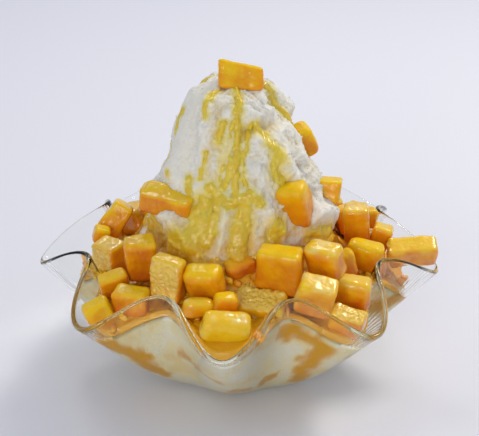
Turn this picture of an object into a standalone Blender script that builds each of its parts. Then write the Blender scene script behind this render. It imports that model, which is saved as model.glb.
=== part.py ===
"""Mango shaved ice in a fluted glass bowl.

The bowl is blown glass with eight flutes: each flute runs out to a low tip and
the lip rises to a crest between two tips. Shaved ice fills the bowl and stands
up as a rough tower. Mango cubes ring the tower, one sits on top, and each lies
in a socket of its own in the ice.

Angles are measured round the bowl from the front (-Y) towards the right (+X).
Lengths below are in millimetres and are turned to metres by MM.
"""

import math
import random
from dataclasses import dataclass
from itertools import combinations, product

import bmesh
import bpy
from mathutils import Euler, Matrix, Vector

MM = 0.001

# Bowl
FLUTES = 8
FLUTE_START = math.radians(-4.35)
TIP_RADIUS = 95.0
FLUTE_SWELL = 10.5
FOOT_RADIUS = 33.4
LIP_HEIGHT = 57.3
LIP_WAVE = 8.5
LIP_SHARPNESS = 0.1
WALL_CURVE = 1.575
SWELL_GROWTH = 1.2
WAVE_GROWTH = 3.4
GLASS = 3.0
LIP_ROUNDING = 1.1
LIP_ANGLE = 55.0
AROUND = 64
WALL_ROWS = 6

WALL_STEP = 0.001

# Ice: the tower's outline gives radius and height from its foot to its top
FIT_GAP = 0.8
ICE_WALL_ROWS = 5
SHOULDER_ROWS = 3
SHOULDER_CURVE = 0.8
TOWER_OUTLINE = (
    (54.5, 51.5), (49.0, 57.0), (44.5, 66.5), (41.5, 77.5), (38.5, 88.5), (35.0, 98.5), (32.0, 108.0),
    (29.5, 116.5), (27.0, 124.5), (25.0, 132.0), (22.0, 138.5), (14.0, 142.5),
)
BARE_ROWS = SHOULDER_ROWS + len(TOWER_OUTLINE)
TIP_FILL = (0.93, 0.84, 0.78, 0.80, 0.86, 0.80, 0.72, 0.86)
CREST_FILL = 0.90
WOBBLE_FADE = 20.0
WOBBLE_TWIST = 9.0

# Mango: a settling cube moves cheaply along its press line, into or out of the heap
CUBE_GAP = 0.7
CUBE_TO_GLASS = 1.5
SOCKET_GAP = 0.35
NEAR = 32.0
FRONT_PRESS = (0.0, 0.905, -0.427)
PRESS_COST = 0.45
SLIDE_COST = 1.5
LEAST_LEAN = 0.2
DEEPER_SHARE = 0.6
CUT_TILT = 0.08
SHARP_EDGE = 0.8
SOFT_EDGE = 2.4
SETTLE_ROUNDS = 160
SETTLE_STEP = 0.6
SETTLED = 0.25
CONTACT_HALVINGS = 14


@dataclass(frozen=True)
class Lumps:
    """Even lumps round the heap: how many, how far they stand out, and where they start in radians."""

    count: int
    out: float
    start: float


HEAP_LUMPS = (
    Lumps(count=3, out=1.1, start=0.4),
    Lumps(count=5, out=0.9, start=2.1),
    Lumps(count=7, out=0.8, start=4.0),
    Lumps(count=11, out=0.5, start=1.3),
)


@dataclass(frozen=True)
class Swell:
    """A fold that stands out from the tower, or with a minus sign a hollow in it."""

    azimuth: float
    height: float
    wide: float
    tall: float
    out: float


TOWER_SWELLS = (
    Swell(azimuth=35, height=132, wide=42, tall=7, out=3.2),
    Swell(azimuth=60, height=121, wide=40, tall=4, out=-3.4),
    Swell(azimuth=62, height=110, wide=34, tall=7, out=4.2),
    Swell(azimuth=84, height=95, wide=26, tall=6, out=2.6),
    Swell(azimuth=22, height=101, wide=20, tall=7, out=3.0),
    Swell(azimuth=-8, height=120, wide=16, tall=16, out=-2.2),
    Swell(azimuth=-60, height=122, wide=44, tall=15, out=2.4),
    Swell(azimuth=-95, height=108, wide=40, tall=10, out=2.0),
    Swell(azimuth=-88, height=86, wide=34, tall=9, out=5.2),
    Swell(azimuth=-36, height=82, wide=14, tall=9, out=4.6),
    Swell(azimuth=-13, height=83, wide=9, tall=10, out=4.4),
    Swell(azimuth=58, height=79, wide=16, tall=9, out=4.8),
    Swell(azimuth=135, height=126, wide=34, tall=9, out=3.4),
    Swell(azimuth=150, height=112, wide=34, tall=4, out=-3.0),
    Swell(azimuth=170, height=98, wide=26, tall=8, out=3.8),
    Swell(azimuth=205, height=130, wide=26, tall=6, out=-2.6),
    Swell(azimuth=222, height=114, wide=30, tall=8, out=3.6),
    Swell(azimuth=205, height=84, wide=20, tall=9, out=4.4),
    Swell(azimuth=120, height=82, wide=18, tall=8, out=4.0),
)


@dataclass
class Cube:
    """One cut piece of mango: its middle, its size, its turn about X, Y, Z and how it was cut."""

    name: str
    at: tuple
    size: tuple
    turn: tuple
    soft: bool = False
    slope: float = 0.0
    press: tuple = FRONT_PRESS

    def edge(self):
        """Width of the rounding along the cut edges."""
        return SOFT_EDGE if self.soft else SHARP_EDGE

    def knife_cuts(self, grow):
        """The six flat cuts as direction and distance, each tilted a few degrees out of true."""
        draw = random.Random(self.name)
        cuts = {}
        for axis, sign in product(range(3), (-1, 1)):
            direction = Vector([draw.uniform(-CUT_TILT, CUT_TILT) for _ in range(3)])
            direction[axis] = sign
            if axis == 2 and sign > 0:
                direction.x += self.slope
            distance = self.size[axis] / 2 / direction.length + grow
            cuts[axis, sign] = (direction.normalized(), distance)
        return cuts

    def local_corners(self, grow=0.0):
        """The eight corners, each where three flat cuts meet, with every cut moved out by grow."""
        cuts = self.knife_cuts(grow)
        corners = {}
        for signs in product((-1, 1), repeat=3):
            meeting = [cuts[axis, sign] for axis, sign in enumerate(signs)]
            directions = Matrix([direction for direction, _ in meeting])
            corners[signs] = directions.inverted() @ Vector([distance for _, distance in meeting])
        return corners

    def rotation(self):
        """Turn of the piece as an Euler rotation."""
        return Euler([math.radians(angle) for angle in self.turn])

    def world_corners(self):
        """The corners as they lie in the heap."""
        spin = self.rotation().to_matrix()
        middle = Vector(self.at)
        return [middle + spin @ corner for corner in self.local_corners().values()]


FRONT_CUBES = (
    Cube("mango_crown", (2, -3, 145.5), (18, 11, 11.5), (-25, 3, 0), slope=0.28),
    Cube("mango_shoulder", (32, 9, 109.5), (8, 12, 14), (0, -25, 15), soft=True),
    Cube("mango_flank", (26, -25, 93), (14, 12, 19), (10, -8, -20), soft=True),
    Cube("mango_flank_behind", (40, -6, 90.5), (15, 9, 11), (-12, 4, -12)),
    Cube("mango_block", (-31, -21, 92.5), (24, 12, 10), (10, 6, -22)),
    Cube("mango_left_leaning", (-58, 13, 68), (10, 11, 16), (-20, 30, -10)),
    Cube("mango_left_sliver", (-64.5, 0, 65.5), (6, 6, 7), (0, 20, 10)),
    Cube("mango_left_pulpy", (-59.5, -14, 61.5), (13, 10, 13), (5, 0, -40)),
    Cube("mango_left_fibrous", (-44.5, -33, 69.5), (12, 10, 19), (8, 0, 8)),
    Cube("mango_left_low", (-56.5, -38, 59.5), (12, 8, 10), (12, -10, 15)),
    Cube("mango_left_front", (-48.5, -50, 55.5), (14, 8, 12), (6, 0, -20)),
    Cube("mango_left_tip", (-63, -54, 53), (11, 8, 8), (-5, -20, 20)),
    Cube("mango_tall_pulpy", (-31, -49, 68), (13, 8, 19), (6, 5, -22)),
    Cube("mango_round_front", (-14.5, -52.5, 66.5), (15, 9, 16), (22, -5, -14), soft=True),
    Cube("mango_recessed", (2, -41, 67), (11, 7, 12), (20, -20, 20)),
    Cube("mango_large_front", (18.5, -46, 70), (19, 10, 18), (6, 5, -12)),
    Cube("mango_slim_front", (-20, -65, 58.5), (11, 6, 8), (10, 0, 8), soft=True),
    Cube("mango_small_front", (-8, -64, 60), (8, 6, 11), (4, 5, 15)),
    Cube("mango_wet_top", (9.5, -56, 55.5), (20, 12, 11), (20, 0, -20)),
    Cube("mango_front_tip", (-7, -76, 55.5), (20, 9, 11), (18, 10, 6), soft=True),
    Cube("mango_right_shiny", (34.5, -60, 64), (15, 10, 14), (15, 15, -10)),
    Cube("mango_right_glazed", (39.5, -38.5, 70), (15, 11, 16), (14, 0, -30), soft=True),
    Cube("mango_right_small", (50, -27, 62.5), (7, 6, 12), (0, -20, 10)),
    Cube("mango_right_smooth", (59.5, -16.5, 61), (16, 9, 14), (5, 8, -15), soft=True),
    Cube("mango_right_lower", (51.5, -44, 57.5), (14, 8, 11), (6, 4, -10)),
    Cube("mango_right_pulpy", (48.5, -61, 51.5), (14, 8, 9), (15, 15, -12)),
    Cube("mango_right_upright", (56.5, 0, 70.5), (10, 10, 17), (6, 0, -6)),
    Cube("mango_right_behind", (62.5, 12, 67.5), (6, 6, 8), (0, 10, 15)),
    Cube("mango_right_wedge", (67.5, 1, 62.5), (8, 7, 11), (0, 20, -10)),
    Cube("mango_right_long", (82, -6.5, 58), (21, 9, 11), (24, -2, 0)),
)


@dataclass(frozen=True)
class Tier:
    """A row of mango cubes round the back: its name, azimuths, radius and middle height."""

    name: str
    azimuths: tuple
    radius: float
    height: float


BACK_TIERS = (
    Tier("mango_back_low", (112, 131, 151, 172, 197, 218, 238), 60.0, 61.0),
    Tier("mango_back_high", (122, 150, 181, 212, 240), 47.0, 76.0),
    Tier("mango_back_tower", (150, 222), 33.0, 101.0),
)
BACK_CUBE = (15.0, 12.0, 14.0)
BACK_SIZE_SPREAD = 2.0
BACK_PLACE_SPREAD = 2.0
BACK_TURN_SPREAD = 22.0
BACK_SOFT_SHARE = 0.4
BACK_SEED = 8


def back_cubes():
    """The cubes on the sides and back, drawn from one seeded spread of sizes, places and turns."""
    draw = random.Random(BACK_SEED)
    cubes = []
    for tier in BACK_TIERS:
        for number, azimuth in enumerate(tier.azimuths, start=1):
            radius = tier.radius + draw.uniform(-BACK_PLACE_SPREAD, BACK_PLACE_SPREAD)
            height = tier.height + draw.uniform(-BACK_PLACE_SPREAD, BACK_PLACE_SPREAD)
            spot = polar(math.radians(azimuth), radius, height)
            size = tuple(full + draw.uniform(-BACK_SIZE_SPREAD, BACK_SIZE_SPREAD) for full in BACK_CUBE)
            tilt = draw.uniform(-BACK_TURN_SPREAD, BACK_TURN_SPREAD)
            lean = draw.uniform(-BACK_TURN_SPREAD, BACK_TURN_SPREAD)
            spin = azimuth + draw.uniform(-BACK_TURN_SPREAD, BACK_TURN_SPREAD)
            soft = draw.random() < BACK_SOFT_SHARE
            press = tuple(polar(math.radians(azimuth), -FRONT_PRESS[1], FRONT_PRESS[2]))
            name = f"{tier.name}_{number}"
            cubes.append(Cube(name, tuple(spot), size, (tilt, lean, spin), soft, press=press))
    return cubes


def polar(angle, radius, height):
    """A point from its angle round the bowl, its radius and its height."""
    return Vector((radius * math.sin(angle), -radius * math.cos(angle), height))


def flute_phase(angle):
    """Phase of the flutes: 0 at a tip and pi at a crest."""
    return FLUTES * (angle - FLUTE_START)


def outer_wall(angle, rise):
    """A point on the outside of the glass, with rise from 0 at the foot to 1 at the lip."""
    wave = math.cos(flute_phase(angle))
    cone = FOOT_RADIUS + (TIP_RADIUS - FLUTE_SWELL - FOOT_RADIUS) * rise
    radius = cone + FLUTE_SWELL * rise ** SWELL_GROWTH * wave
    ripple = wave + LIP_SHARPNESS * math.cos(2 * flute_phase(angle))
    height = LIP_HEIGHT * rise ** WALL_CURVE - LIP_WAVE * rise ** WAVE_GROWTH * ripple
    return polar(angle, radius, height)


def inner_wall(angle, rise, inset):
    """A point that lies inset millimetres in from the outside of the glass."""
    below = max(rise - WALL_STEP, WALL_STEP / 10)
    along = outer_wall(angle, rise + WALL_STEP) - outer_wall(angle, below)
    across = outer_wall(angle + WALL_STEP, rise) - outer_wall(angle - WALL_STEP, rise)
    inward = along.cross(across).normalized()
    return outer_wall(angle, rise) + inset * inward


def wall_contact(angle, height, inset):
    """The inset wall's point at this angle and height, with its inward direction, or None above the lip."""
    if inner_wall(angle, 1.0, inset).z < height:
        return None
    low, high = 0.0, 1.0
    for _ in range(CONTACT_HALVINGS):
        middle = (low + high) / 2
        if inner_wall(angle, middle, inset).z < height:
            low = middle
        else:
            high = middle
    contact = inner_wall(angle, high, inset)
    return contact, (contact - outer_wall(angle, high)).normalized()


def ice_fill(angle):
    """How far up the glass the ice reaches, as a share of the way from foot to lip."""
    turn = (math.degrees(angle - FLUTE_START) / (360 / FLUTES)) % FLUTES
    before = int(turn) % FLUTES
    after = (before + 1) % FLUTES
    nearer = TIP_FILL[before] if turn - int(turn) < 0.5 else TIP_FILL[after]
    crest_share = (1 - math.cos(flute_phase(angle))) / 2
    return nearer + (CREST_FILL - nearer) * crest_share


def bell(offset, width):
    """A smooth bump of height 1 that fades over its width."""
    return math.exp(-(offset / width) ** 2)


def ice_wobble(angle, height):
    """How far the ice stands out from its plain outline at this angle and height."""
    twist = height / WOBBLE_TWIST
    wobble = sum(lumps.out * math.sin(lumps.count * angle + lumps.start + twist) for lumps in HEAP_LUMPS)
    for swell in TOWER_SWELLS:
        turn = (math.degrees(angle) - swell.azimuth + 180) % 360 - 180
        wobble += swell.out * bell(turn, swell.wide) * bell(height - swell.height, swell.tall)
    return wobble


def bare_ice(angle, row):
    """A point on the ice above the glass, with the shoulder's rows first and then the tower's."""
    if row < SHOULDER_ROWS:
        edge = inner_wall(angle, ice_fill(angle), GLASS + FIT_GAP)
        foot_radius, foot_height = TOWER_OUTLINE[0]
        share = (row + 1) / (SHOULDER_ROWS + 1)
        radius = edge.xy.length + (foot_radius - edge.xy.length) * share
        height = edge.z + (foot_height - edge.z) * math.sin(share * math.pi / 2) ** SHOULDER_CURVE
    else:
        radius, height = TOWER_OUTLINE[row - SHOULDER_ROWS]
    fade = min(1.0, row / SHOULDER_ROWS) * min(1.0, radius / WOBBLE_FADE)
    return polar(angle, radius + fade * ice_wobble(angle, height), height)


def ice_surface(angle, row):
    """A point on the ice from the middle of the floor, up the glass and over the heap to the top."""
    if row == 0:
        return Vector((0, 0, GLASS + FIT_GAP))
    if row <= ICE_WALL_ROWS + 1:
        rise = (row - 1) / WALL_ROWS if row <= ICE_WALL_ROWS else ice_fill(angle)
        point = inner_wall(angle, rise, GLASS + FIT_GAP)
        point.z = max(point.z, GLASS + FIT_GAP)
        return point
    bare_row = row - ICE_WALL_ROWS - 2
    if bare_row < BARE_ROWS:
        return bare_ice(angle, bare_row)
    return Vector((0, 0, TOWER_OUTLINE[-1][1]))


def bowl_surface(angle, row):
    """A point on the outside of the glass from the middle of the foot to the lip."""
    if row == 0:
        return Vector((0, 0, 0))
    return outer_wall(angle, (row - 1) / WALL_ROWS)


def rolled_sheet(name, rows, surface):
    """A sheet rolled round the vertical axis, with its rows of points placed by surface(angle, row)."""
    sheet = bmesh.new()
    bmesh.ops.create_grid(sheet, x_segments=AROUND, y_segments=rows, size=0.5)
    for vertex in sheet.verts:
        angle = FLUTE_START + 2 * math.pi * round((vertex.co.x + 0.5) * AROUND) / AROUND
        row = round((vertex.co.y + 0.5) * rows)
        vertex.co = surface(angle, row) * MM
    bmesh.ops.remove_doubles(sheet, verts=sheet.verts, dist=1e-6)
    bmesh.ops.recalc_face_normals(sheet, faces=sheet.faces)
    mesh = bpy.data.meshes.new(name)
    sheet.to_mesh(mesh)
    sheet.free()
    mesh.shade_smooth()
    return bpy.data.objects.new(name, mesh)


def make_material(name, color, roughness, transmission=0.0):
    """A Principled material with one colour and roughness, clear where it has transmission."""
    material = bpy.data.materials.new(name)
    material.use_nodes = True
    shader = material.node_tree.nodes["Principled BSDF"]
    shader.inputs["Base Color"].default_value = (*color, 1.0)
    shader.inputs["Roughness"].default_value = roughness
    shader.inputs["Metallic"].default_value = 0.0
    shader.inputs["Transmission Weight"].default_value = transmission
    return material


def make_bowl(collection):
    """The glass: a fluted sheet thickened inwards, with a rounded lip."""
    bowl = rolled_sheet("bowl", WALL_ROWS + 1, bowl_surface)
    wall = bowl.modifiers.new("wall", "SOLIDIFY")
    wall.thickness = GLASS * MM
    wall.offset = -1
    wall.use_even_offset = True
    lip = bowl.modifiers.new("lip", "BEVEL")
    lip.width = LIP_ROUNDING * MM
    lip.segments = 2
    lip.limit_method = "ANGLE"
    lip.angle_limit = math.radians(LIP_ANGLE)
    bowl.data.materials.append(make_material("glass", (0.90, 0.93, 0.92), 0.03, transmission=1.0))
    collection.objects.link(bowl)


def cut_block(cube, name, grow=0.0):
    """A block in a cube's place, with its six flat cuts moved out by grow."""
    block = bmesh.new()
    bmesh.ops.create_cube(block, size=2)
    corners = cube.local_corners(grow)
    for vertex in block.verts:
        vertex.co = corners[tuple(round(c) for c in vertex.co)] * MM
    mesh = bpy.data.meshes.new(name)
    block.to_mesh(mesh)
    block.free()
    piece = bpy.data.objects.new(name, mesh)
    piece.location = Vector(cube.at) * MM
    piece.rotation_euler = cube.rotation()
    return piece


def make_cube(cube, collection):
    """One mango cube with slightly rounded cut edges."""
    piece = cut_block(cube, cube.name)
    rounding = piece.modifiers.new("cut edges", "BEVEL")
    rounding.width = cube.edge() * MM
    rounding.segments = 2 if cube.soft else 1
    rounding.limit_method = "NONE"
    piece.data.materials.append(make_material(f"{cube.name}_flesh", (0.80, 0.42, 0.02), 0.35))
    collection.objects.link(piece)


def make_socket(cube, collection):
    """The space that a mango cube takes out of the ice, a little larger all round."""
    socket = cut_block(cube, f"{cube.name}_socket", SOCKET_GAP)
    socket.modifiers.new("flat faces", "TRIANGULATE")
    socket.hide_render = True
    socket.display_type = "WIRE"
    collection.objects.link(socket)
    return socket


def make_ice(collection, sockets):
    """The shaved ice: one body from the bowl's floor to the tower's top, with the sockets cut out."""
    ice = rolled_sheet("shaved_ice", ICE_WALL_ROWS + 2 + BARE_ROWS, ice_surface)
    ice.modifiers.new("flat faces", "TRIANGULATE")
    for socket in sockets:
        cut = ice.modifiers.new(socket.name, "BOOLEAN")
        cut.operation = "DIFFERENCE"
        cut.object = socket
    ice.data.materials.append(make_material("shaved_ice", (0.86, 0.85, 0.82), 0.6))
    collection.objects.link(ice)


def move_cost(move, press):
    """How far a move takes a cube across the heap, counting a move into or out of the heap as cheap."""
    along = move.dot(press)
    across = (move - along * press).length
    return PRESS_COST * abs(along) + SLIDE_COST * across


def cheaper(best, axis, depth, press):
    """The cheapest of best and the moves that clear this depth along the axis or the press line."""
    options = [axis * depth]
    lean = axis.dot(press)
    if abs(lean) > LEAST_LEAN:
        options.append(press * (depth / lean))
    if best is not None:
        options.append(best)
    return min(options, key=lambda move: move_cost(move, press))


def parting_move(one, other, press):
    """The cheapest move of other that leaves the cube gap between them, or None if they are clear."""
    between = sum(other, Vector()) / len(other) - sum(one, Vector()) / len(one)
    sides_one = [one[4] - one[0], one[2] - one[0], one[1] - one[0]]
    sides_other = [other[4] - other[0], other[2] - other[0], other[1] - other[0]]
    axes = sides_one + sides_other + [a.cross(b) for a in sides_one for b in sides_other] + [between]
    best = None
    for axis in axes:
        if axis.length < 1e-6:
            continue
        axis = axis.normalized()
        if axis.dot(between) < 0:
            axis = -axis
        depth = max(axis.dot(c) for c in one) + CUBE_GAP - min(axis.dot(c) for c in other)
        if depth <= 0:
            return None
        best = cheaper(best, axis, depth, press)
    return best


def push_off_glass(corners, press):
    """The move that brings the corners back inside the glass, or None if all are inside."""
    deepest = 0.0
    side = None
    for corner in corners:
        angle = math.atan2(corner.x, -corner.y)
        touch = wall_contact(angle, corner.z, GLASS + CUBE_TO_GLASS)
        if touch is None:
            continue
        contact, inward = touch
        depth = (contact - corner).dot(inward)
        if depth > deepest:
            deepest = depth
            side = inward
    if side is None:
        return None
    return cheaper(None, side, deepest, press)


def settle(cubes):
    """Nudge the cubes apart and off the glass until all of them are clear."""
    for _ in range(SETTLE_ROUNDS):
        worst = 0.0
        corners = [cube.world_corners() for cube in cubes]
        moves = [Vector() for _ in cubes]
        for first, second in combinations(range(len(cubes)), 2):
            if (Vector(cubes[first].at) - Vector(cubes[second].at)).length > NEAR:
                continue
            push = parting_move(corners[first], corners[second], Vector(cubes[first].press))
            if push is not None:
                deeper_is_second = push.dot(Vector(cubes[first].press)) > 0
                second_share = DEEPER_SHARE if deeper_is_second else 1 - DEEPER_SHARE
                moves[first] -= push * (1 - second_share)
                moves[second] += push * second_share
                worst = max(worst, push.length)
        for index, cube in enumerate(cubes):
            off_glass = push_off_glass(corners[index], Vector(cube.press))
            if off_glass is not None:
                moves[index] += off_glass
                worst = max(worst, off_glass.length)
            cube.at = tuple(Vector(cube.at) + moves[index] * SETTLE_STEP)
        if worst < SETTLED:
            return


def main():
    """Clear the scene and build the dessert."""
    for old in list(bpy.data.objects):
        bpy.data.objects.remove(old, do_unlink=True)
    dessert = bpy.data.collections.new("mango shaved ice")
    cutters = bpy.data.collections.new("cutters")
    bpy.context.scene.collection.children.link(dessert)
    bpy.context.scene.collection.children.link(cutters)
    cubes = list(FRONT_CUBES) + back_cubes()
    settle(cubes)
    make_bowl(dessert)
    sockets = [make_socket(cube, cutters) for cube in cubes]
    make_ice(dessert, sockets)
    for cube in cubes:
        make_cube(cube, dessert)


if __name__ == "__main__":
    main()
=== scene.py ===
"""Mango shaved ice in a fluted glass bowl, dressed for a studio view.

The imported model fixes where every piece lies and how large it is. This script makes the
surfaces that are seen: blown glass with a fire-polished lip, shaved ice with its folds and
loose flakes, the mango sauce that runs down it, and wet cut mango.

Lengths are millimetres until a mesh is made, and MM turns them to metres. Angles are
measured round the bowl from the front (-Y) towards the right (+X).
"""

import logging
import math
from dataclasses import dataclass, field
from enum import Enum
from itertools import product

import bmesh
import bpy
import numpy as np
from mathutils import Matrix, Vector


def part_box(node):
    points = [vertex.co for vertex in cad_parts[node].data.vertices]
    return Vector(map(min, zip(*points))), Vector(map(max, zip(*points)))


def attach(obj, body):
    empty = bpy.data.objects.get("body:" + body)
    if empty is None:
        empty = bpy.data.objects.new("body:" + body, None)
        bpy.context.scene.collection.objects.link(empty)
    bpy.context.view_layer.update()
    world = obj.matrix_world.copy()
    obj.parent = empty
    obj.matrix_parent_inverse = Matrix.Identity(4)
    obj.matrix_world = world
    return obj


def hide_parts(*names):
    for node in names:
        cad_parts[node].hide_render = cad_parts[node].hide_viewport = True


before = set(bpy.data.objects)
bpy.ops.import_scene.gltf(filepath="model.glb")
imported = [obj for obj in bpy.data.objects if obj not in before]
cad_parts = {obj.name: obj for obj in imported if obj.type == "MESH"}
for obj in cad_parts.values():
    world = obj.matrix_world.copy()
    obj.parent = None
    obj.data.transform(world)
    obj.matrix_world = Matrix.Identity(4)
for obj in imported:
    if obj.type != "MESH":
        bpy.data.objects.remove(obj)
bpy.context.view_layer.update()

MM = 0.001
FULL_TURN = 2 * math.pi
log = logging.getLogger("mango shaved ice")

MIX_A = 6
MIX_B = 7
MIX_RESULT = 2


# ---------------------------------------------------------------------------
# Small helpers
# ---------------------------------------------------------------------------


def linear(hex_code: str) -> tuple[float, float, float, float]:
    """Turn an sRGB hex code into the linear colour that a shader takes.

    Args:
        hex_code: Six hex digits, such as "E0B410".

    Returns:
        Red, green, blue and an alpha of 1.
    """
    channels = [int(hex_code[place : place + 2], 16) / 255 for place in (0, 2, 4)]
    straight = [c / 12.92 if c <= 0.04045 else ((c + 0.055) / 1.055) ** 2.4 for c in channels]
    return (*straight, 1.0)


def per_metre(size_mm: float) -> float:
    """Texture scale in object space for a pattern whose features are this many millimetres wide."""
    return 1.0 / (size_mm * MM)


def add_node(
    tree: bpy.types.NodeTree, kind: str, fields: dict | None = None, inputs: dict | None = None
) -> bpy.types.Node:
    """Add one shader node with its settings and links.

    Args:
        tree: The node tree that the node joins.
        kind: Blender's name for the node type.
        fields: The node's own properties and their values.
        inputs: Its sockets by name or number, each with a value or with an output to link.

    Returns:
        The new node.
    """
    node = tree.nodes.new(kind)
    for name, value in (fields or {}).items():
        setattr(node, name, value)
    for socket, value in (inputs or {}).items():
        if isinstance(value, bpy.types.NodeSocket):
            tree.links.new(value, node.inputs[socket])
        else:
            node.inputs[socket].default_value = value
    return node


def new_material(name: str) -> tuple[bpy.types.Material, bpy.types.NodeTree, bpy.types.NodeSocket]:
    """Start a node material with nothing in it but its output and a place on the object.

    Args:
        name: The finish's name.

    Returns:
        The material, its node tree and the place, for its patterns.
    """
    material = bpy.data.materials.new(name)
    material.use_nodes = True
    tree = material.node_tree
    for node in list(tree.nodes):
        if node.type != "OUTPUT_MATERIAL":
            tree.nodes.remove(node)
    return material, tree, add_node(tree, "ShaderNodeTexCoord").outputs["Object"]


def finish_material(tree: bpy.types.NodeTree, surface: bpy.types.NodeSocket) -> None:
    """Link a shader to the tree's output."""
    tree.links.new(surface, tree.nodes["Material Output"].inputs["Surface"])


def color_mix(
    tree: bpy.types.NodeTree, share: object, first: object, second: object, blend: str = "MIX"
) -> bpy.types.NodeSocket:
    """Mix two colours in a shader.

    Args:
        tree: The node tree.
        share: How much of the second colour, as a number or an output.
        first: The colour at share 0.
        second: The colour at share 1.
        blend: Blender's name for the way of mixing.

    Returns:
        The mixed colour.
    """
    fields = {"data_type": "RGBA", "blend_type": blend}
    node = add_node(tree, "ShaderNodeMix", fields, {0: share, MIX_A: first, MIX_B: second})
    return node.outputs[MIX_RESULT]


def noise_relief(
    tree: bpy.types.NodeTree,
    place: bpy.types.NodeSocket,
    size_mm: float,
    height_mm: float,
    strength: float,
    pattern: dict | None = None,
    under: bpy.types.NodeSocket | None = None,
) -> bpy.types.NodeSocket:
    """Raise a surface by a noise pattern of a real size.

    Args:
        tree: The node tree.
        place: Where on the object the pattern is read.
        size_mm: Width of the pattern's features.
        height_mm: Their height.
        strength: How much of that height shows, from 0 to 1.
        pattern: More settings of the noise, by name.
        under: The relief that this one lies on, if there is one.

    Returns:
        The surface's normal.
    """
    at_place = {"Vector": place, "Scale": per_metre(size_mm)}
    noise = add_node(tree, "ShaderNodeTexNoise", inputs=at_place | (pattern or {}))
    raised = {"Strength": strength, "Distance": height_mm * MM, "Height": noise.outputs["Fac"]}
    if under is not None:
        raised["Normal"] = under
    return add_node(tree, "ShaderNodeBump", inputs=raised).outputs["Normal"]


def reading(tree: bpy.types.NodeTree, name: str) -> bpy.types.NodeSocket:
    """A number that is stored at each point of the mesh under this name."""
    return add_node(tree, "ShaderNodeAttribute", {"attribute_name": name}).outputs["Fac"]


def smooth_step(values: np.ndarray, low: float, high: float) -> np.ndarray:
    """Ease values from 0 at low to 1 at high."""
    share = np.clip((values - low) / (high - low), 0.0, 1.0)
    return share * share * (3 - 2 * share)


def bell(offset: np.ndarray, width: float) -> np.ndarray:
    """A smooth bump of height 1 that fades over its width."""
    return np.exp(-((offset / width) ** 2))


EDGE_DIRECTIONS = np.array([d for d in product((-1, 0, 1), repeat=3) if sum(map(abs, d)) == 2], float)
HASH_PRIMES = (73856093, 19349663, 83492791)
HASH_MASK = 0xFFFFFFFF


def lattice_noise(points: np.ndarray, seed: int = 0) -> np.ndarray:
    """Smooth gradient noise between about -1 and 1, with features one unit wide.

    Args:
        points: One row of three coordinates a point.
        seed: Which noise field to use.

    Returns:
        One value a point.
    """
    cell = np.floor(points).astype(np.int64)
    offset = points - cell
    fade = offset**3 * (offset * (offset * 6 - 15) + 10)
    total = np.zeros(len(points))
    for corner in product((0, 1), repeat=3):
        lattice = cell + np.array(corner)
        mixed = np.full(len(points), (seed * 2654435761 + 97) & HASH_MASK, np.int64)
        for axis, prime in enumerate(HASH_PRIMES):
            mixed ^= (lattice[:, axis] * prime) & HASH_MASK
            mixed = ((mixed ^ (mixed >> 15)) * 739982445) & HASH_MASK
        direction = EDGE_DIRECTIONS[(mixed >> 12) % len(EDGE_DIRECTIONS)]
        weight = np.prod(np.where(corner, fade, 1 - fade), axis=1)
        total += weight * np.einsum("ij,ij->i", direction, offset - np.array(corner))
    return total


def layered_noise(points: np.ndarray, size: float, octaves: int = 3, seed: int = 0) -> np.ndarray:
    """Noise in several layers, each half as large and half as strong as the one before.

    Args:
        points: Points in millimetres.
        size: Width of the largest features in millimetres.
        octaves: How many layers.
        seed: Which noise field to use.

    Returns:
        One value a point, between about -1 and 1.
    """
    total = np.zeros(len(points))
    for octave in range(octaves):
        total += lattice_noise(points * (2**octave / size) + 17.3 * octave, seed + octave) / 2**octave
    return total


def ridged_noise(points: np.ndarray, size: float, octaves: int = 3, seed: int = 0) -> np.ndarray:
    """Noise with sharp crests and round hollows, from 0 to about 1.

    Args:
        points: Points in millimetres.
        size: Width of the largest ridges in millimetres.
        octaves: How many layers.
        seed: Which noise field to use.

    Returns:
        One value a point.
    """
    total = np.zeros(len(points))
    for octave in range(octaves):
        layer = lattice_noise(points * (2**octave / size) + 31.7 * octave, seed + octave)
        total += (1 - np.abs(layer) * 2.2) / 2**octave
    return total / (2 - 0.5 ** (octaves - 1))


def azimuth_of(points: np.ndarray) -> np.ndarray:
    """Azimuth of each point in degrees, from the front towards the right."""
    return np.degrees(np.arctan2(points[:, 0], -points[:, 1]))


def turn_from(azimuth: np.ndarray, middle: float) -> np.ndarray:
    """How far each azimuth is turned from a middle one, from -180 to 180 degrees."""
    return (azimuth - middle + 180) % 360 - 180


def make_piece(
    name: str, points: np.ndarray, faces: list | np.ndarray, smooth: bool = True
) -> bpy.types.Object:
    """Make a mesh object from points in millimetres and link it to the scene.

    Args:
        name: The piece's name.
        points: One row a vertex.
        faces: Vertex numbers of each face.
        smooth: Whether the faces are shaded smooth.

    Returns:
        The new object.
    """
    mesh = bpy.data.meshes.new(name)
    face_lists = faces.tolist() if isinstance(faces, np.ndarray) else faces
    mesh.from_pydata((np.asarray(points) * MM).tolist(), [], face_lists)
    mesh.validate()
    if smooth:
        mesh.shade_smooth()
    piece = bpy.data.objects.new(name, mesh)
    bpy.context.scene.collection.objects.link(piece)
    return piece


def store(mesh: bpy.types.Mesh, name: str, values: np.ndarray) -> None:
    """Keep one number a vertex on the mesh, for its material to read."""
    attribute = mesh.attributes.new(name, "FLOAT", "POINT")
    attribute.data.foreach_set("value", np.asarray(values, np.float32))


def vertices_of(mesh: bpy.types.Mesh) -> np.ndarray:
    """The mesh's vertices in millimetres, one row each."""
    flat = np.empty(len(mesh.vertices) * 3, np.float32)
    mesh.vertices.foreach_get("co", flat)
    return flat.reshape(-1, 3).astype(float) / MM


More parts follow.
